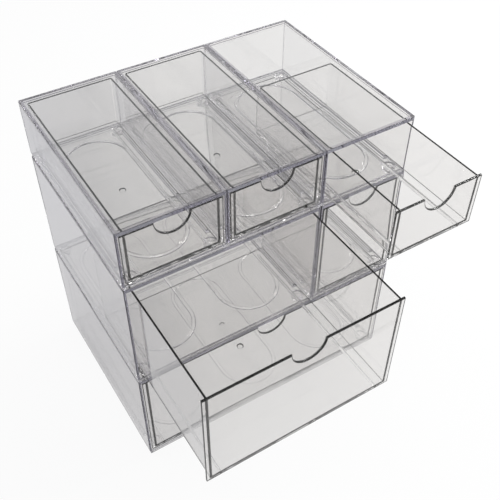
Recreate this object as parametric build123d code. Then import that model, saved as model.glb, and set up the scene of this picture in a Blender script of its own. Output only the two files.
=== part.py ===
"""Stack of clear moulded drawer units, three columns wide and three tiers high.

Six open-fronted housings nest on each other, and each holds one drawer that slides out forwards.
Lengths are in millimetres. X is the width, Y the depth with the fronts at low Y, Z is up.
The origin is on the surface that the stack stands on, under the middle of the whole outline,
with two of the drawers pulled out as far as they are at rest.
"""
from build123d import *
import os

# Driving sizes of the stack
column_width = 114.3       # one column, as wide as the narrow units
column_names = ["left", "middle", "right"]
side_gap = 0.3             # between neighbours in one tier
unit_depth = 243.5
low_pitch = 73.2           # height that a low unit adds to the stack
tall_pitch = 146.4         # height that a tall unit adds to the stack
seam_gap = 0.3             # between a housing's skirt and the rim below it

# Housing
wall = 2.4                 # side walls, back, floor and roof
corner_radius = 1.5
rim_width = 3.6            # raised edge round the roof
rim_height = 2.1
skirt_inset = 1.0          # sides and back of the walls' lowest band, up to the floor's top
floor_top = 4.4            # above the skirt's lower edge
foot_radius = 7.0
foot_wall = 2.0
foot_sole = 1.4            # thickness of the closed end of each foot
foot_inset = 13.0          # centre of a foot from the side, front and back
rail_inset = 5.8           # outer side of a floor rail from the housing's side
rail_width = 6.1
rail_end_gap = 24.0        # from each end of a rail to the front and to the back
rail_edge = 0.8
bead_radius = 37.2         # racetrack bead on the floor, one in each column
bead_end_inset = 57.2      # centre of a bead's round end from the front and from the back
bead_width = 4.8
bead_height = 1.1
bead_edge = 0.8

# Drawer
drawer_wall = 2.0          # sides, back and floor
panel = 2.4                # thickness of the drawer front
body_inset = 7.8           # side of a drawer's body from the housing's side
body_bottom = 9.3          # underside of a drawer's body above the skirt's lower edge
panel_drop = 2.2           # the front reaches this much lower than the body
back_corner_radius = 3.0
rib_width = 2.0            # two glide ribs under each drawer
rib_end_gap = 8.0          # from the back end of a rib to the back of the drawer
notch_radius = 18.5        # half-round finger notch in the top edge of each front

# Clearances
panel_gap = 1.4            # drawer front to the housing's side walls
roof_gap = 0.6             # drawer to the housing's roof
back_gap = 1.5             # closed drawer to the housing's back wall
rail_gap = 0.3             # drawer body to the rails that it runs on
rib_gap = 0.3              # glide rib to the bead below it

# How far the two open drawers are pulled out at rest
narrow_drawer_out = 103.0
wide_drawer_out = 142.0

# Worked out from the sizes above
foot_drop = rim_height + seam_gap        # the feet stand on the roof below, inside its rim
roof_drop = foot_drop + wall             # underside of a roof below the top of its unit
drawer_depth = unit_depth - wall - back_gap
front_y = (wide_drawer_out - unit_depth) / 2


def block(x0, x1, y0, y1, z0, z1):
    """Block between two opposite corners."""
    size = Box(x1 - x0, y1 - y0, z1 - z0)
    return Pos((x0 + x1) / 2, (y0 + y1) / 2, (z0 + z1) / 2) * size


def rounded_prism(width, side_inset, front_inset, z0, z1):
    """Upright prism with round corners, over a unit's footprint less an inset at sides and back."""
    depth = unit_depth - front_inset - side_inset
    outline = RectangleRounded(width - 2 * side_inset, depth, corner_radius)
    return Pos(0, front_inset + depth / 2, z0) * extrude(outline, z1 - z0)


def unit_width(columns):
    return columns * column_width - side_gap


def foot_places(width):
    """Centres of the four feet, near the corners of a unit."""
    x = width / 2 - foot_inset
    return [Pos(side * x, y, 0) for side in (-1, 1) for y in (foot_inset, unit_depth - foot_inset)]


def shell(width, pitch):
    """Walls, floor and roof: a box that is open at the front, with a rim above and a skirt below."""
    top = pitch - seam_gap
    solid = rounded_prism(width, 0, 0, floor_top, top)
    solid += rounded_prism(width, skirt_inset, 0, 0, floor_top)
    solid -= rounded_prism(width, rim_width, rim_width, pitch - foot_drop, top)
    solid -= rounded_prism(width, skirt_inset + wall, wall, 0, floor_top - wall)
    inside = width / 2 - wall
    return solid - block(-inside, inside, -wall, unit_depth - wall, floor_top, pitch - roof_drop)


def foot():
    """Cup-shaped foot, sunk from the floor and closed at its lower end."""
    outside = Cylinder(foot_radius, foot_drop + floor_top, align=(Align.CENTER, Align.CENTER, Align.MIN))
    return Pos(0, 0, -foot_drop) * outside


def foot_well():
    """Round recess in the floor over a foot."""
    depth = foot_drop + floor_top - foot_sole
    inside = Cylinder(foot_radius - foot_wall, depth, align=(Align.CENTER, Align.CENTER, Align.MIN))
    return Pos(0, 0, foot_sole - foot_drop) * inside


def rail(width, side):
    """Raised floor rail that carries one side of the drawer."""
    outer = width / 2 - rail_inset
    x0, x1 = sorted((side * outer, side * (outer - rail_width)))
    top = body_bottom - rail_gap
    strip = block(x0, x1, rail_end_gap, unit_depth - rail_end_gap, floor_top, top)
    return chamfer(strip.edges().group_by(Axis.Z)[-1], rail_edge)


def racetrack_bead():
    """Raised bead round a long oval, along the depth of one column."""
    length = unit_depth - 2 * bead_end_inset
    outer = SlotCenterToCenter(length, 2 * bead_radius + bead_width, rotation=90)
    inner = SlotCenterToCenter(length, 2 * bead_radius - bead_width, rotation=90)
    ring = extrude(outer - inner, bead_height)
    ring = chamfer(ring.edges().group_by(Axis.Z)[-1], bead_edge)
    return Pos(0, unit_depth / 2, floor_top) * ring


def column_centres(columns):
    return [(i - (columns - 1) / 2) * column_width for i in range(columns)]


def housing(columns, pitch):
    """One housing, standing on Z = 0 by its skirt, with its front in the plane Y = 0."""
    width = unit_width(columns)
    solid = shell(width, pitch)
    for place in foot_places(width):
        solid += place * foot()
    for place in foot_places(width):
        solid -= place * foot_well()
    for side in (-1, 1):
        solid += rail(width, side)
    for x in column_centres(columns):
        solid += Pos(x, 0, 0) * racetrack_bead()
    return solid


def drawer(columns, pitch):
    """One drawer, closed, in the place that its housing gives it."""
    width = unit_width(columns)
    top = pitch - roof_drop - roof_gap
    half = width / 2 - body_inset
    body = block(-half, half, 0, drawer_depth, body_bottom, top)
    back_corners = body.edges().filter_by(Axis.Z).group_by(Axis.Y)[-1]
    body = fillet(back_corners, back_corner_radius)
    hollow = block(-half + drawer_wall, half - drawer_wall, panel, drawer_depth - drawer_wall,
                   body_bottom + drawer_wall, top)
    hollow_corners = hollow.edges().filter_by(Axis.Z).group_by(Axis.Y)[-1]
    body -= fillet(hollow_corners, back_corner_radius - drawer_wall)

    panel_half = width / 2 - wall - panel_gap
    body += block(-panel_half, panel_half, 0, panel, body_bottom - panel_drop, top)

    rib_bottom = floor_top + bead_height + rib_gap
    for side in (-1, 1):
        x = side * (column_centres(columns)[-1] + bead_radius)
        body += block(x - rib_width / 2, x + rib_width / 2, panel, drawer_depth - rib_end_gap,
                      rib_bottom, body_bottom)

    notch = Rotation(90, 0, 0) * Cylinder(notch_radius, 4 * panel)
    return body - Pos(0, 0, top) * notch


# Name, columns that the unit covers, tier's base above the lowest skirt, pitch, how far the drawer is out
middle_base = tall_pitch
upper_base = 2 * tall_pitch
units = [
    ("upper_left", ["left"], upper_base, low_pitch, 0),
    ("upper_middle", ["middle"], upper_base, low_pitch, 0),
    ("upper_right", ["right"], upper_base, low_pitch, narrow_drawer_out),
    ("middle_wide", ["left", "middle"], middle_base, tall_pitch, wide_drawer_out),
    ("middle_right", ["right"], middle_base, tall_pitch, 0),
    ("lower_wide", ["left", "middle", "right"], 0, tall_pitch, 0),
]

os.makedirs("parts", exist_ok=True)
for name, covered, base, pitch, out in units:
    columns = len(covered)
    first = column_names.index(covered[0])
    x = (first + (columns - len(column_names)) / 2) * column_width
    place = Pos(x, front_y, foot_drop + base)
    export_step(place * housing(columns, pitch), f"parts/{name}_housing.step")
    export_step(place * Pos(0, -out, 0) * drawer(columns, pitch), f"parts/{name}_drawer.step")
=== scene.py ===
"""Stack of clear moulded drawer units: six open-fronted housings, each with one sliding drawer.

The script follows the stack as it is put together: the view and the studio first,
then the housings, then the drawers. Lengths are in metres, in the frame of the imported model.
"""
import math

import bmesh
import bpy
import numpy as np
from mathutils import Matrix, Vector
from mathutils.geometry import delaunay_2d_cdt


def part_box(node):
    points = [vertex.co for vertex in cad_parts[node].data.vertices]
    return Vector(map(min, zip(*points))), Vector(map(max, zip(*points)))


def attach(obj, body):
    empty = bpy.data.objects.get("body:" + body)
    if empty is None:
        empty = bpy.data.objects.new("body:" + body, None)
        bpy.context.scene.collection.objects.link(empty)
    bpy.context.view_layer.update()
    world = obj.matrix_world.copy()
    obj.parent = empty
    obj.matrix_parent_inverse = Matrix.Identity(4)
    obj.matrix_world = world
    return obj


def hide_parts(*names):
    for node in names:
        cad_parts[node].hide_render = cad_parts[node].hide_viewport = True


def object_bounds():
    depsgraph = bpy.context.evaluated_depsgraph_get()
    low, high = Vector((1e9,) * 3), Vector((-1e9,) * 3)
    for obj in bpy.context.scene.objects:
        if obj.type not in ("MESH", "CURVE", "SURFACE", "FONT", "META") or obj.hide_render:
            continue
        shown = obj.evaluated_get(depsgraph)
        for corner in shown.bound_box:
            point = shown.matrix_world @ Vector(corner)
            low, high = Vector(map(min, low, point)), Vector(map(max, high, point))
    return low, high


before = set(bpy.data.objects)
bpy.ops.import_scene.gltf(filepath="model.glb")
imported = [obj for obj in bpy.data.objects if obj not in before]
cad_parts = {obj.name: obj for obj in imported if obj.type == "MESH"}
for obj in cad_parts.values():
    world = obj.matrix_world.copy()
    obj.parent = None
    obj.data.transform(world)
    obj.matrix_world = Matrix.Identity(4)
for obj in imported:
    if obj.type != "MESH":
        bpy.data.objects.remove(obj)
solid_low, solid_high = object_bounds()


# ---------------------------------------------------------------- camera
# The photograph looks down on the stack from its left front corner, from about a metre away.
# The place, the angles and the focal length come from the perspective of the stack's corners.
camera_place = Vector((-0.3216, -0.5095, 0.8138))
camera_azimuth = math.radians(-32.328)
camera_elevation = math.radians(44.671)
camera_roll = math.radians(0.479)
sensor_width = 36.0
focal_length = 53.66


def camera_turn(azimuth, elevation, roll):
    """Camera axes as a matrix: back from two angles, right square to up, both turned by the roll."""
    level = math.cos(elevation)
    back = Vector((math.sin(azimuth) * level, -math.cos(azimuth) * level, math.sin(elevation)))
    right = Vector((0, 0, 1)).cross(back).normalized()
    up = back.cross(right)
    turned_right = right * math.cos(roll) + up * math.sin(roll)
    turned_up = up * math.cos(roll) - right * math.sin(roll)
    return Matrix((turned_right, turned_up, back)).transposed()


camera_data = bpy.data.cameras.new("photo_camera")
camera_data.sensor_width = sensor_width
camera_data.lens = focal_length
camera = bpy.data.objects.new("photo_camera", camera_data)
turn = camera_turn(camera_azimuth, camera_elevation, camera_roll).to_4x4()
camera.matrix_world = Matrix.Translation(camera_place) @ turn
scene = bpy.context.scene
scene.collection.objects.link(camera)
scene.camera = camera
scene.view_settings.view_transform = "Standard"

# A line of sight crosses up to forty clear surfaces, so the paths are long enough for all of them.
clear_surfaces = 64
scene.cycles.max_bounces = clear_surfaces
scene.cycles.transmission_bounces = clear_surfaces
scene.cycles.glossy_bounces = clear_surfaces
scene.cycles.transparent_max_bounces = clear_surfaces
scene.cycles.caustics_reflective = False
scene.cycles.caustics_refractive = False


# ---------------------------------------------------------------- studio
# A plain white floor and a white surround, with two large soft lamps above the stack.
# The clear walls show and mirror a pale grey floor with a painted shadow, darker to the left of the stack,
# and a surround that is darker overhead.
floor_half = 6.0
floor_colour = (0.84, 0.84, 0.84, 1)
camera_lift = 0.92
mirror_lift = 0.87
# Painted shadow: the floor as the clear walls show it is darker to the left of the stack, where its shadow
# falls, and lighter to the right.
painted_shadow_direction = (1.0, -0.4, 0.0)
painted_shadow_start = -0.42
painted_shadow_end = 0.40
painted_shadow_tones = (
    (0.0, (0.60, 0.60, 0.63)), (0.25, (0.62, 0.615, 0.625)),
    (0.45, (0.84, 0.835, 0.83)), (1.0, (0.90, 0.89, 0.88)),
)
surround_light = 0.55
surround_colour = (0.97, 0.985, 1.0, 1)
dimming_start = 0.15
dimming_end = 0.95
overhead_level = 0.28


def new_material(name):
    """Empty node material and its node and link lists."""
    material = bpy.data.materials.new(name)
    material.use_nodes = True
    tree = material.node_tree
    tree.nodes.clear()
    return material, tree.nodes, tree.links


def seen_level(nodes, links, by_camera, by_mirror):
    """Socket with one level for what the camera sees, one for what clear and glossy skins show, else 0."""
    path = nodes.new("ShaderNodeLightPath")
    mirrored = nodes.new("ShaderNodeMath")
    mirrored.operation = "MAXIMUM"
    links.new(path.outputs["Is Glossy Ray"], mirrored.inputs[0])
    links.new(path.outputs["Is Transmission Ray"], mirrored.inputs[1])
    shown = nodes.new("ShaderNodeMath")
    shown.operation = "MULTIPLY"
    links.new(mirrored.outputs[0], shown.inputs[0])
    shown.inputs[1].default_value = by_mirror
    level = nodes.new("ShaderNodeMath")
    level.operation = "MULTIPLY_ADD"
    links.new(path.outputs["Is Camera Ray"], level.inputs[0])
    level.inputs[1].default_value = by_camera
    links.new(shown.outputs[0], level.inputs[2])
    return level.outputs[0]


def floor_material():
    """Pale matt floor, part of it plain white where it is seen, so that only a soft shadow is left.
    Through the clear walls that part is a pale grey with a painted shadow, which falls off to the left of
    the stack."""
    material, nodes, links = new_material("studio_floor")
    matt = nodes.new("ShaderNodeBsdfDiffuse")
    matt.inputs["Color"].default_value = floor_colour
    place = nodes.new("ShaderNodeTexCoord")
    across = nodes.new("ShaderNodeVectorMath")
    across.operation = "DOT_PRODUCT"
    links.new(place.outputs["Object"], across.inputs[0])
    across.inputs[1].default_value = painted_shadow_direction
    span = nodes.new("ShaderNodeMapRange")
    span.inputs["From Min"].default_value = painted_shadow_start
    span.inputs["From Max"].default_value = painted_shadow_end
    links.new(across.outputs["Value"], span.inputs["Value"])
    # Ramp of the floor's painted shadow, dark to the left of the stack.
    grey = nodes.new("ShaderNodeValToRGB")
    stops = grey.color_ramp.elements
    while len(stops) < len(painted_shadow_tones):
        stops.new(0.5)
    for stop, (position, tone) in zip(stops, painted_shadow_tones):
        stop.position = position
        stop.color = (*tone, 1)
    links.new(span.outputs["Result"], grey.inputs["Fac"])
    shown = nodes.new("ShaderNodeMix")
    shown.data_type = "RGBA"
    shown.inputs["B"].default_value = (1, 1, 1, 1)
    links.new(seen_level(nodes, links, 1, 0), shown.inputs["Factor"])
    links.new(grey.outputs["Color"], shown.inputs["A"])
    white = nodes.new("ShaderNodeEmission")
    links.new(shown.outputs["Result"], white.inputs["Color"])
    both = nodes.new("ShaderNodeMixShader")
    links.new(seen_level(nodes, links, camera_lift, mirror_lift), both.inputs["Fac"])
    links.new(matt.outputs[0], both.inputs[1])
    links.new(white.outputs[0], both.inputs[2])
    out = nodes.new("ShaderNodeOutputMaterial")
    links.new(both.outputs[0], out.inputs["Surface"])
    return material


def make_object(name, points, faces):
    """Object at the origin with its place in its mesh."""
    mesh = bpy.data.meshes.new(name)
    mesh.from_pydata(points, [], faces)
    made = bpy.data.objects.new(name, mesh)
    scene.collection.objects.link(made)
    return made


floor_corners = floor_half * np.array([(-1, -1, 0), (1, -1, 0), (1, 1, 0), (-1, 1, 0)], float)
studio_floor = make_object("studio_floor", floor_corners.tolist(), [(0, 1, 2, 3)])
studio_floor.data.materials.append(floor_material())


def surround():
    """White surround: even light for matt surfaces, and for clear ones white that dims towards overhead."""
    world = bpy.data.worlds.new("studio_surround")
    world.use_nodes = True
    nodes, links = world.node_tree.nodes, world.node_tree.links
    nodes.clear()
    place = nodes.new("ShaderNodeTexCoord")
    height = nodes.new("ShaderNodeSeparateXYZ")
    links.new(place.outputs["Generated"], height.inputs[0])
    dimming = nodes.new("ShaderNodeMapRange")
    dimming.interpolation_type = "SMOOTHSTEP"
    dimming.inputs["From Min"].default_value = dimming_start
    dimming.inputs["From Max"].default_value = dimming_end
    dimming.inputs["To Min"].default_value = 1.0
    dimming.inputs["To Max"].default_value = overhead_level
    links.new(height.outputs["Z"], dimming.inputs["Value"])
    level = nodes.new("ShaderNodeMix")
    level.inputs["A"].default_value = surround_light
    links.new(seen_level(nodes, links, 1, 1), level.inputs["Factor"])
    links.new(dimming.outputs["Result"], level.inputs["B"])
    colour = nodes.new("ShaderNodeMix")
    colour.data_type = "RGBA"
    colour.inputs["A"].default_value = surround_colour
    colour.inputs["B"].default_value = (1, 1, 1, 1)
    links.new(seen_level(nodes, links, 1, 0), colour.inputs["Factor"])
    glow = nodes.new("ShaderNodeBackground")
    links.new(colour.outputs["Result"], glow.inputs["Color"])
    links.new(level.outputs["Result"], glow.inputs["Strength"])
    out = nodes.new("ShaderNodeOutputWorld")
    links.new(glow.outputs[0], out.inputs["Surface"])
    return world


scene.world = surround()


def soft_lamp(name, place, size, power):
    """Square lamp that faces the middle of the stack."""
    data = bpy.data.lights.new(name, "AREA")
    data.size = size
    data.energy = power
    lamp = bpy.data.objects.new(name, data)
    middle = (solid_low + solid_high) / 2
    aim = (middle - Vector(place)).to_track_quat("-Z", "Y").to_matrix().to_4x4()
    lamp.matrix_world = Matrix.Translation(place) @ aim
    scene.collection.objects.link(lamp)


soft_lamp("key_lamp", place=(1.35, 0.05, 1.50), size=0.65, power=28)
soft_lamp("top_lamp", place=(-0.20, -0.30, 2.3), size=0.6, power=6)


# ---------------------------------------------------------------- housings
# Each housing is one injection moulding in clear, faintly violet polystyrene: thin walls and floor,
# a raised rim round the roof and four cup feet that stand inside the rim of the unit below.
wall = 0.0024
corner_radius = 0.0015
corner_steps = 6
rim_width = 0.0036
rim_height = 0.0021
foot_drop = 0.0024
skirt_inset = 0.0010
floor_top = 0.0044
foot_radius = 0.0070
foot_wall = 0.0020
foot_sole = 0.0014
foot_inset = 0.0130
rail_inset = 0.0058
rail_width = 0.0061
rail_end_gap = 0.0240
rail_height = 0.0046
rail_edge = 0.0008
column_width = 0.1143
bead_radius = 0.0372
bead_end_inset = 0.0572
bead_width = 0.0048
bead_height = 0.0011
gate_radius = 0.0026
gate_taper = 0.6
gate_depth = 0.0003
rightwards = (1, 0, 0)
backwards = (0, 1, 0)
upwards = (0, 0, 1)

# The bead's profile, across and up, as shares of half its width and of its height.
bead_profile = (
    (-1, 0), (-0.95, 0.22), (-0.80, 0.40), (-0.20, 1), (0.20, 1), (0.80, 0.40), (0.95, 0.22), (1, 0),
)
# The rows at each foot of the bead take the edge plastic, so that painted shade lines both sides of the
# bead.
bead_foot_rows = 3

# The feet end just above the roof or the floor below, so that no two clear skins lie in one plane.
contact_gap = 0.00005

# Finish of a moulding's edges: the angle between two faces decides if their edge is rounded, creased
# or left smooth.
mould_edge = 0.00032
edge_segments = 2
rounded_angle = math.radians(40)
crease_angle = math.radians(20)
merge_distance = 2e-6
level_enough = 0.9

# Numbers of a moulding's plastics, after its skin, which is 0. Edges beside an odd one stay as they are.
# The edge and end plastics are dark with painted shade, and so is a drawer's rim.
painted_shade_edge_plastic = 1
rim_plastic = 2
sole_plastic = 3
painted_shade_end_plastic = 4
step_plastic = 5


def rounded_loop(x0, x1, y0, y1, z, radius, steps=corner_steps):
    """Level loop of four quarter arcs, from the front right corner round the back to the front left one.
    A corner's points are its centre plus radius times (cos t, sin t), with t over a quarter turn."""
    t = np.linspace(0, np.pi / 2, steps + 1)
    starts = np.array([-np.pi / 2, 0, np.pi / 2, np.pi])
    centre_x = np.array([x1 - radius, x1 - radius, x0 + radius, x0 + radius])
    centre_y = np.array([y0 + radius, y1 - radius, y1 - radius, y0 + radius])
    angle = starts[:, None] + t[None, :]
    x = (centre_x[:, None] + radius * np.cos(angle)).ravel()
    y = (centre_y[:, None] + radius * np.sin(angle)).ravel()
    return np.stack([x, y, np.full_like(x, z)], -1)


def racetrack(x, y0, y1, radius, z, steps=24):
    """Level loop of two half turns about (x, y0) and (x, y1): centre plus radius times (cos t, sin t)."""
    t = np.linspace(0, np.pi, steps + 1)
    back = np.stack([x + radius * np.cos(t), y1 + radius * np.sin(t)], -1)
    front = np.stack([x - radius * np.cos(t), y0 - radius * np.sin(t)], -1)
    flat = np.concatenate([back, front])
    return np.column_stack([flat, np.full(len(flat), z)])


def ring(centre, radius, across, along, steps=32):
    """Circle in the plane of two unit vectors: centre plus radius times (across cos t + along sin t)."""
    t = np.arange(steps) * 2 * np.pi / steps
    return np.array(centre) + radius * (np.outer(np.cos(t), across) + np.outer(np.sin(t), along))


def band(rows, closed=True):
    """Wall of quads over a grid of points: each row is one loop, or one open line, of equal count."""
    grid = np.array(rows)
    count = grid.shape[1]
    row = np.arange(len(grid) - 1)[:, None] * count
    point = np.arange(count if closed else count - 1)[None, :]
    after = (point + 1) % count
    quads = np.stack([row + point, row + after, row + count + after, row + count + point], -1)
    return grid.reshape(-1, 3), quads.reshape(-1, 4).tolist()


def cap(loop):
    """One flat face inside a loop."""
    return np.array(loop), [list(range(len(loop)))]


def in_plastic(surface, number):
    """Surface with the number of its own plastic."""
    return *surface, number


def inside(points, loop):
    """Which flat points lie inside a flat loop: a ray from each of them crosses its edges an odd
    number of times."""
    start, end = loop[None], np.roll(loop, -1, 0)[None]
    x, y = points[:, 0, None], points[:, 1, None]
    spans = (start[..., 1] > y) != (end[..., 1] > y)
    rise = np.where(spans, end[..., 1] - start[..., 1], 1)
    crossing = start[..., 0] + (y - start[..., 1]) * (end[..., 0] - start[..., 0]) / rise
    return (spans & (crossing > x)).sum(1) % 2 == 1


def plate(loops, flat_axis):
    """Flat face between an outer loop and the holes in it, cut into triangles across the given axis.
    The triangles whose middles lie in a hole are left out."""
    points = np.concatenate(loops)
    across = [axis for axis in (0, 1, 2) if axis != flat_axis]
    ends = np.cumsum([len(loop) for loop in loops])
    edges = [
        (i, i + 1 if i + 1 < end else end - len(loop))
        for loop, end in zip(loops, ends)
        for i in range(end - len(loop), end)
    ]
    flat = [Vector(p) for p in points[:, across].tolist()]
    inside_edges = 1
    tolerance = 1e-7
    corners, _, triangles, _, _, _ = delaunay_2d_cdt(flat, edges, [], inside_edges, tolerance)
    placed = np.empty((len(corners), 3))
    placed[:, across] = [tuple(c) for c in corners]
    placed[:, flat_axis] = points[0, flat_axis]
    triangles = np.array(triangles)
    middles = placed[triangles][:, :, across].mean(1)
    kept = inside(middles, np.array(loops[0])[:, across])
    for hole in loops[1:]:
        kept &= ~inside(middles, np.array(hole)[:, across])
    return placed, triangles[kept].tolist()


def moulding(name, surfaces, plastics, edge_width):
    """Closed piece from its surfaces: joined at their shared edges, faces outwards, sharp edges rounded.
    Its plastics are for its skin, its rounded edges and its rim's level top, and then any others. The
    rounded edges' plastic is dark with painted shade, and on a drawer the rim's is too."""
    counts = np.cumsum([0] + [len(points) for points, *_ in surfaces])
    points = np.concatenate([points for points, *_ in surfaces])
    faces = [[start + i for i in face] for (_, some, *_), start in zip(surfaces, counts) for face in some]
    marked = [sum(number) for _, some, *number in surfaces for face in some]
    made = make_object(name, points.tolist(), faces)
    made.data.polygons.foreach_set("material_index", marked)
    work = bmesh.new()
    work.from_mesh(made.data)
    bmesh.ops.remove_doubles(work, verts=work.verts, dist=merge_distance)
    bmesh.ops.recalc_face_normals(work, faces=work.faces)
    work.normal_update()
    roundness = []
    for edge in work.edges:
        angle = edge.calc_face_angle(0)
        kept = any(face.material_index % 2 for face in edge.link_faces)
        roundness.append(float(angle > rounded_angle and not kept))
        edge.smooth = not crease_angle < angle < rounded_angle
    work.to_mesh(made.data)
    work.free()
    weights = made.data.attributes.new("bevel_weight_edge", "FLOAT", "EDGE")
    weights.data.foreach_set("value", roundness)
    for plastic in plastics:
        made.data.materials.append(plastic)
    polygons = made.data.polygons
    polygons.foreach_set("use_smooth", [True] * len(polygons))
    middles = np.empty(3 * len(polygons))
    normals = np.empty(3 * len(polygons))
    polygons.foreach_get("center", middles)
    polygons.foreach_get("normal", normals)
    numbers = np.empty(len(polygons), np.int32)
    polygons.foreach_get("material_index", numbers)
    # On a drawer the rim's level top takes a plastic that is dark with painted shade.
    at_top = middles[2::3] > points[:, 2].max() - mould_edge
    numbers[at_top & (normals[2::3] > level_enough)] = rim_plastic
    polygons.foreach_set("material_index", numbers)
    rounding = made.modifiers.new("moulded_edges", "BEVEL")
    rounding.material = painted_shade_edge_plastic
    rounding.width = edge_width
    rounding.segments = edge_segments
    rounding.limit_method = "WEIGHT"
    rounding.use_clamp_overlap = False
    flats = made.modifiers.new("flat_faces", "WEIGHTED_NORMAL")
    flats.keep_sharp = True
    return made


def upright_rows(x, y, radius, *heights):
    """Level circles of one radius, one at each height."""
    return [ring((x, y, height), radius, rightwards, backwards) for height in heights]


def housing_surfaces(width, depth, height, x, y, z):
    """All faces of one housing. Its skirt's lower edge is at z, its rim's top edge at z + height."""
    half = width / 2

    def outline(inset, front_inset, level, radius=corner_radius):
        return rounded_loop(x - half + inset, x + half - inset, y + front_inset, y + depth - inset,
                            z + level, radius)

    # Walls: the profile goes down inside the skirt, up the outside, and over the rim to the roof.
    # The outside is in three parts, because its front corners belong to the wall ends, which are darkened
    # with painted shade.
    roof_top = height - rim_height
    cellar = outline(skirt_inset + wall, wall, floor_top - wall)
    skirt_inner = outline(skirt_inset + wall, wall, 0)
    skirt_outer = outline(skirt_inset, 0, 0, corner_radius - skirt_inset)
    skirt_top = outline(skirt_inset, 0, floor_top, corner_radius - skirt_inset)
    ledge = outline(0, 0, floor_top)
    rim_outer = outline(0, 0, height)
    rim_inner = outline(rim_width, rim_width, height)
    roof_edge = outline(rim_width, rim_width, roof_top)
    outside = np.array([skirt_outer, skirt_top, ledge, rim_outer])
    behind_corners = outside[:, corner_steps:-corner_steps]
    surfaces = [
        band([cellar, skirt_inner, skirt_outer]),
        in_plastic(band(outside[:, :corner_steps + 1], closed=False), painted_shade_end_plastic),
        band(behind_corners[:2], closed=False),
        in_plastic(band(behind_corners[1:3], closed=False), step_plastic),
        band(behind_corners[2:], closed=False),
        in_plastic(band(outside[:, -corner_steps - 1:], closed=False), painted_shade_end_plastic),
        band([rim_outer, rim_inner, roof_edge]),
        cap(roof_edge),
    ]

    # Front frame, with wall ends above the floor darkened with painted shade, and the cavity behind it.
    inner = half - wall
    ceiling = roof_top - wall
    back = depth - wall
    right_side = list(outside[:, 0])
    left_side = list(outside[::-1, -1])
    cavity = np.array([(-inner, floor_top), (inner, floor_top), (inner, ceiling), (-inner, ceiling)])

    def cavity_loop(depth_in):
        return np.column_stack([x + cavity[:, 0], np.full(len(cavity), y + depth_in), z + cavity[:, 1]])

    front, rear = cavity_loop(0), cavity_loop(back)
    below_floor = right_side[:2] + [front[1], front[0]] + left_side[2:]
    above_floor = right_side[1:] + left_side[:3] + list(front[[0, 3, 2, 1]])
    surfaces += [cap(below_floor), in_plastic(cap(above_floor), painted_shade_end_plastic)]
    surfaces.append(band([np.roll(front, -1, 0), np.roll(rear, -1, 0)], closed=False))
    middle = (x, y + back, z + (floor_top + ceiling) / 2)
    sunk = (x, y + back + gate_depth, middle[2])
    gate = [
        ring(centre, radius, rightwards, upwards)
        for centre, radius in ((middle, gate_radius), (sunk, gate_radius * gate_taper))
    ]
    surfaces += [plate([rear, gate[0]], flat_axis=1), band(gate), cap(gate[-1])]

    # Floor: rails at both sides, a racetrack bead in each column, and a well over each foot.
    floor_z = z + floor_top
    floor_loop = np.array([front[0], front[1], rear[1], rear[0]])
    floor_holes = []
    underside_holes = []
    for side in (-1, 1):
        outer = side * (half - rail_inset)
        x0, x1 = sorted((x + outer, x + outer - side * rail_width))
        y0, y1 = y + rail_end_gap, y + depth - rail_end_gap
        rail_top = floor_z + rail_height
        rows = [
            np.array([(x0 + e, y0 + e, h), (x1 - e, y0 + e, h), (x1 - e, y1 - e, h), (x0 + e, y1 - e, h)])
            for e, h in ((0, floor_z), (0, rail_top - rail_edge), (rail_edge, rail_top))
        ]
        surfaces += [band(rows), cap(rows[-1])]
        floor_holes.append(rows[0])
        for foot_y in (y + foot_inset, y + depth - foot_inset):
            foot_x = x + side * (half - foot_inset)
            foot_z = z - foot_drop
            well = upright_rows(foot_x, foot_y, foot_radius - foot_wall, floor_z, foot_z + foot_sole)
            cup = upright_rows(foot_x, foot_y, foot_radius, floor_z - wall, foot_z + contact_gap)
            for tube in (well, cup):
                surfaces += [band(tube), in_plastic(cap(tube[-1]), sole_plastic)]
            floor_holes.append(well[0])
            underside_holes.append(cup[0])

    columns = round(width / column_width)
    for column in range(columns):
        bead_x = x + (column - (columns - 1) / 2) * column_width
        ends = y + bead_end_inset, y + depth - bead_end_inset
        rows = [
            racetrack(bead_x, *ends, bead_radius - offset * bead_width / 2, floor_z + rise * bead_height)
            for offset, rise in bead_profile
        ]
        # The bead's foot rows are dark with painted shade.
        surfaces += [
            in_plastic(band(rows[:bead_foot_rows]), painted_shade_edge_plastic),
            band(rows[bead_foot_rows - 1:1 - bead_foot_rows]),
            in_plastic(band(rows[-bead_foot_rows:]), painted_shade_edge_plastic),
            cap(rows[-1]),
        ]
        floor_holes.append(rows[0])
    surfaces.append(plate([floor_loop] + floor_holes, flat_axis=2))
    surfaces.append(plate([cellar] + underside_holes, flat_axis=2))
    return surfaces


# Clear polystyrene: what its shadow lets through, how strongly it refracts, and its surface.
# Flow waves are broad and shallow, and the wear is a finer pattern that only takes off gloss.
shade = (0.96, 0.96, 0.965, 1)
refraction = 1.57
flow_detail = 2
wave_strength = 0.05
wave_depth = 0.0005
wear_scale = 90
wear_detail = 4
wear_start = 0.45
wear_end = 0.75
haze_level = 0.985


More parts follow.
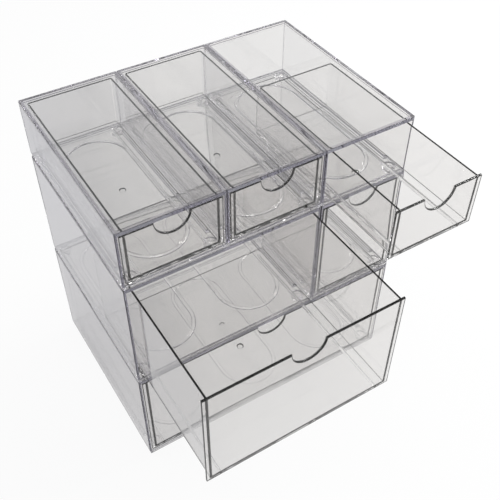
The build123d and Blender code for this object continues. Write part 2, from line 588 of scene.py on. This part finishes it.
def clear_plastic(name, tint, smoke, smoke_density, flow_scale, glint=1.0, dullness=0.012):
    """Clear moulded plastic: refraction at the skin and smoke in the depth, so that long paths go dark.
    The skin has faint flow waves and a finer wear, which changes its roughness. The tint is its own colour,
    and where it is dark it is painted shade. The glint is the strength of its reflections, and the dullness
    its roughness where it is most worn."""
    material, nodes, links = new_material(name)
    place = nodes.new("ShaderNodeTexCoord")
    stretch = nodes.new("ShaderNodeMapping")
    stretch.inputs["Scale"].default_value = flow_scale
    links.new(place.outputs["Object"], stretch.inputs["Vector"])
    flow = nodes.new("ShaderNodeTexNoise")
    flow.inputs["Scale"].default_value = 1
    flow.inputs["Detail"].default_value = flow_detail
    links.new(stretch.outputs[0], flow.inputs["Vector"])
    waves = nodes.new("ShaderNodeBump")
    waves.inputs["Strength"].default_value = wave_strength
    waves.inputs["Distance"].default_value = wave_depth
    links.new(flow.outputs["Fac"], waves.inputs["Height"])
    wear = nodes.new("ShaderNodeTexNoise")
    wear.inputs["Scale"].default_value = wear_scale
    wear.inputs["Detail"].default_value = wear_detail
    links.new(place.outputs["Object"], wear.inputs["Vector"])
    gloss = nodes.new("ShaderNodeMapRange")
    gloss.inputs["From Min"].default_value = wear_start
    gloss.inputs["From Max"].default_value = wear_end
    gloss.inputs["To Min"].default_value = 0.0
    gloss.inputs["To Max"].default_value = dullness
    links.new(wear.outputs["Fac"], gloss.inputs["Value"])
    haze = nodes.new("ShaderNodeMix")
    haze.data_type = "RGBA"
    haze.inputs["A"].default_value = (*tint, 1)
    haze.inputs["B"].default_value = (*(c * haze_level for c in tint), 1)
    links.new(flow.outputs["Fac"], haze.inputs["Factor"])
    skin = nodes.new("ShaderNodeBsdfPrincipled")
    skin.inputs["Transmission Weight"].default_value = 1
    skin.inputs["IOR"].default_value = refraction
    links.new(haze.outputs["Result"], skin.inputs["Base Color"])
    links.new(gloss.outputs["Result"], skin.inputs["Roughness"])
    links.new(waves.outputs["Normal"], skin.inputs["Normal"])
    skin.inputs["Specular Tint"].default_value = (glint, glint, glint, 1)
    lamp_way = nodes.new("ShaderNodeBsdfTransparent")
    lamp_way.inputs["Color"].default_value = shade
    path = nodes.new("ShaderNodeLightPath")
    either = nodes.new("ShaderNodeMixShader")
    links.new(path.outputs["Is Shadow Ray"], either.inputs["Fac"])
    links.new(skin.outputs[0], either.inputs[1])
    links.new(lamp_way.outputs[0], either.inputs[2])
    depth = nodes.new("ShaderNodeVolumeAbsorption")
    depth.inputs["Color"].default_value = (*smoke, 1)
    depth.inputs["Density"].default_value = smoke_density
    out = nodes.new("ShaderNodeOutputMaterial")
    links.new(either.outputs[0], out.inputs["Surface"])
    links.new(depth.outputs[0], out.inputs["Volume"])
    return material


# The housing's plastics in the order of their numbers. Wall ends and rounded edges are dark with painted
# shade, and the soles of the feet are ground matt.
housing_batch = {"smoke": (0.80, 0.787, 0.825), "smoke_density": 2.5, "flow_scale": (8, 30, 8)}
housing_skin = clear_plastic("violet_clear_plastic", (0.984, 0.981, 0.978), **housing_batch)
housing_plastics = (
    housing_skin,
    clear_plastic("violet_edges_painted_shade", (0.22, 0.212, 0.24), glint=0.3, **housing_batch),
    clear_plastic("violet_rim", (0.985, 0.982, 0.986), **housing_batch),
    clear_plastic("violet_ground_sole", (0.96, 0.955, 0.95), dullness=0.5, **housing_batch),
    clear_plastic("violet_wall_ends_painted_shade", (0.27, 0.265, 0.32), glint=0.5, **housing_batch),
    housing_skin,
)
units = [node.removesuffix("_housing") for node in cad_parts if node.endswith("_housing")]
for unit in units:
    low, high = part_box(unit + "_housing")
    size = high - low
    middle_x = (low.x + high.x) / 2
    surfaces = housing_surfaces(size.x, size.y, size.z - foot_drop, middle_x, low.y, low.z + foot_drop)
    shell = moulding(unit + "_shell", surfaces, housing_plastics, mould_edge)
    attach(shell, "root")
    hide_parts(unit + "_housing")


# ---------------------------------------------------------------- drawers
# Each drawer is a clear moulding in a greyer smoke: an open box with round back corners, a front
# that is wider than the box, a half-round finger notch in it, and two glide ribs underneath.
drawer_wall = 0.0020
panel = 0.0024
flange = 0.0040
panel_drop = 0.0022
rib_drop = 0.0035
rib_width = 0.0020
rib_end_gap = 0.0080
rib_side_inset = 0.0120
back_corner_radius = 0.0030
notch_radius = 0.0185
notch_points = 25
lip = 0.0008
sprue_radius = 0.0034
sprue_depth = 0.0009
drawer_edge = 0.00045
rib_plastic = 3


def tray_line(half, y0, y1, radius, z, steps=corner_steps):
    """Open level line round a tray: along one side to the back, round two quarter arcs, and forwards."""
    t = np.linspace(0, np.pi / 2, steps + 1)
    right = np.stack([half - radius + radius * np.cos(t), y1 - radius + radius * np.sin(t)], -1)
    left = right[::-1] * (-1, 1)
    flat = np.concatenate([[(half, y0)], right, left, [(-half, y0)]])
    return np.column_stack([flat, np.full(len(flat), z)])


def drawer_surfaces(low, high):
    """All faces of one drawer, from the corners of its box."""
    front_half = (high.x - low.x) / 2
    half = front_half - flange
    y0, y1 = low.y, high.y
    behind = y0 + panel
    top = high.z
    bottom = low.z + rib_drop
    inner_half = half - drawer_wall
    inner_floor = bottom + drawer_wall
    front_low = bottom - panel_drop
    rib_x = half - rib_side_inset
    rib_in, rib_out = rib_x - rib_width / 2, rib_x + rib_width / 2
    rib_end = y1 - rib_end_gap

    outer_low = tray_line(half, behind, y1, back_corner_radius, bottom)
    outer_top = tray_line(half, behind, y1, back_corner_radius, top)
    inner_radius = back_corner_radius - drawer_wall
    inner_top = tray_line(inner_half, behind, y1 - drawer_wall, inner_radius, top)
    inner_low = tray_line(inner_half, behind, y1 - drawer_wall, inner_radius, inner_floor)
    surfaces = [band([outer_low, outer_top, inner_top, inner_low], closed=False)]
    sprue = upright_rows(0, (y0 + y1) / 2, sprue_radius, inner_floor, inner_floor - sprue_depth)
    surfaces += [plate([inner_low, sprue[0]], flat_axis=2), band(sprue), cap(sprue[-1])]

    # Underside, open at the two ribs, which run from the front backwards.
    ribs_line = [(-rib_out, behind), (-rib_out, rib_end), (-rib_in, rib_end), (-rib_in, behind),
                 (rib_in, behind), (rib_in, rib_end), (rib_out, rib_end), (rib_out, behind)]
    surfaces.append(cap(list(outer_low) + [(px, py, bottom) for px, py in ribs_line]))

    def rib_face(*corners):
        return in_plastic(cap(corners), rib_plastic)

    tip = low.z
    for a, b in ((-rib_out, -rib_in), (rib_in, rib_out)):
        for px in (a, b):
            surfaces.append(rib_face((px, behind, bottom), (px, behind, front_low), (px, behind, tip),
                                     (px, rib_end, tip), (px, rib_end, bottom)))
        surfaces += [
            rib_face((a, behind, tip), (b, behind, tip), (b, rib_end, tip), (a, rib_end, tip)),
            rib_face((a, rib_end, tip), (b, rib_end, tip), (b, rib_end, bottom), (a, rib_end, bottom)),
            rib_face((a, behind, tip), (b, behind, tip), (b, behind, front_low), (a, behind, front_low)),
        ]

    # Front: its face, the chamfer along its top and round the notch, its back, and its edges.
    t = np.linspace(0, np.pi, notch_points)
    notch = np.stack([notch_radius * np.cos(t), top - notch_radius * np.sin(t)], -1)

    def upright(points, y):
        flat = np.array(points)
        return np.column_stack([flat[:, 0], np.full(len(flat), y), flat[:, 1]])

    wide = notch_radius + lip
    start = np.arcsin(lip / wide)
    t = np.linspace(start, np.pi - start, notch_points)
    wide_notch = np.stack([wide * np.cos(t), top - wide * np.sin(t)], -1)
    lower_line = np.concatenate([[(front_half, top - lip)], wide_notch, [(-front_half, top - lip)]])
    upper_line = np.concatenate([[(front_half, top)], notch, [(-front_half, top)]])
    corners = [(-front_half, front_low), (front_half, front_low)]
    surfaces.append(cap(upright(lower_line.tolist() + corners, y0)))
    surfaces.append(band([upright(lower_line, y0), upright(upper_line, y0 + lip)], closed=False))
    hollow = [(-inner_half, top), (-inner_half, inner_floor), (inner_half, inner_floor), (inner_half, top)]
    surfaces.append(cap(upright(hollow + notch.tolist(), behind)))
    surfaces.append(band([upright(notch, y0 + lip), upright(notch, behind)], closed=False))
    wing = np.array([(rib_out, front_low), (front_half, front_low), (front_half, top), (half, top),
                     (half, bottom), (rib_out, bottom)])
    surfaces.append(cap(upright(wing, behind)))
    surfaces.append(cap(upright(wing * (-1, 1), behind)))
    between = [(-rib_in, front_low), (rib_in, front_low), (rib_in, bottom), (-rib_in, bottom)]
    surfaces.append(cap(upright(between, behind)))
    lower_face = [(-front_half, y0), (front_half, y0), (front_half, behind), (rib_out, behind),
                  (rib_in, behind), (-rib_in, behind), (-rib_out, behind), (-front_half, behind)]
    surfaces.append(cap([(px, py, front_low) for px, py in lower_face]))
    for side in (-1, 1):
        edge = side * front_half
        end = cap([(edge, y0, front_low), (edge, behind, front_low), (edge, behind, top),
                   (edge, y0 + lip, top), (edge, y0, top - lip)])
        # The front's ends are dark with painted shade.
        surfaces.append(in_plastic(end, painted_shade_end_plastic))
        surfaces.append(cap([(edge, y0 + lip, top), (edge, behind, top), (side * half, behind, top),
                             (side * inner_half, behind, top), (side * notch_radius, behind, top),
                             (side * notch_radius, y0 + lip, top)]))
    return surfaces


# Rims, front ends and rounded edges are dark with painted shade.
# They are darker on a wide drawer than on a narrow one.
drawer_batch = {"smoke": (0.62, 0.618, 0.61), "smoke_density": 18, "flow_scale": (30, 8, 8)}
drawer_skin = clear_plastic("grey_clear_plastic", (0.984, 0.980, 0.977), **drawer_batch)
drawer_ends_painted_shade = clear_plastic("grey_ends_painted_shade", (0.45, 0.45, 0.46), **drawer_batch)
wide_edges_painted_shade = clear_plastic("grey_wide_edges_painted_shade", (0.11, 0.11, 0.11), glint=0.3, **drawer_batch)
wide_rim_painted_shade = clear_plastic("grey_wide_rim_painted_shade", (0.10, 0.10, 0.10), **drawer_batch)
narrow_edges_painted_shade = clear_plastic("grey_narrow_edges_painted_shade", (0.34, 0.34, 0.34), glint=0.3, **drawer_batch)
narrow_rim_painted_shade = clear_plastic("grey_narrow_rim_painted_shade", (0.50, 0.50, 0.50), **drawer_batch)
for unit in units:
    low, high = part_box(unit + "_drawer")
    centre = Vector(((low.x + high.x) / 2, 0, 0))
    surfaces = [(np.array(points) + centre, *rest) for points, *rest in drawer_surfaces(low, high)]
    narrow = high.x - low.x < column_width
    # Painted shade: a wide drawer takes the darker edges and rim.
    edges, rim = (narrow_edges_painted_shade, narrow_rim_painted_shade) if narrow else (wide_edges_painted_shade, wide_rim_painted_shade)
    plastics = (drawer_skin, edges, rim, drawer_skin, drawer_ends_painted_shade)
    tray = moulding(unit + "_tray", surfaces, plastics, drawer_edge)
    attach(tray, unit + "_drawer")
    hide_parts(unit + "_drawer")
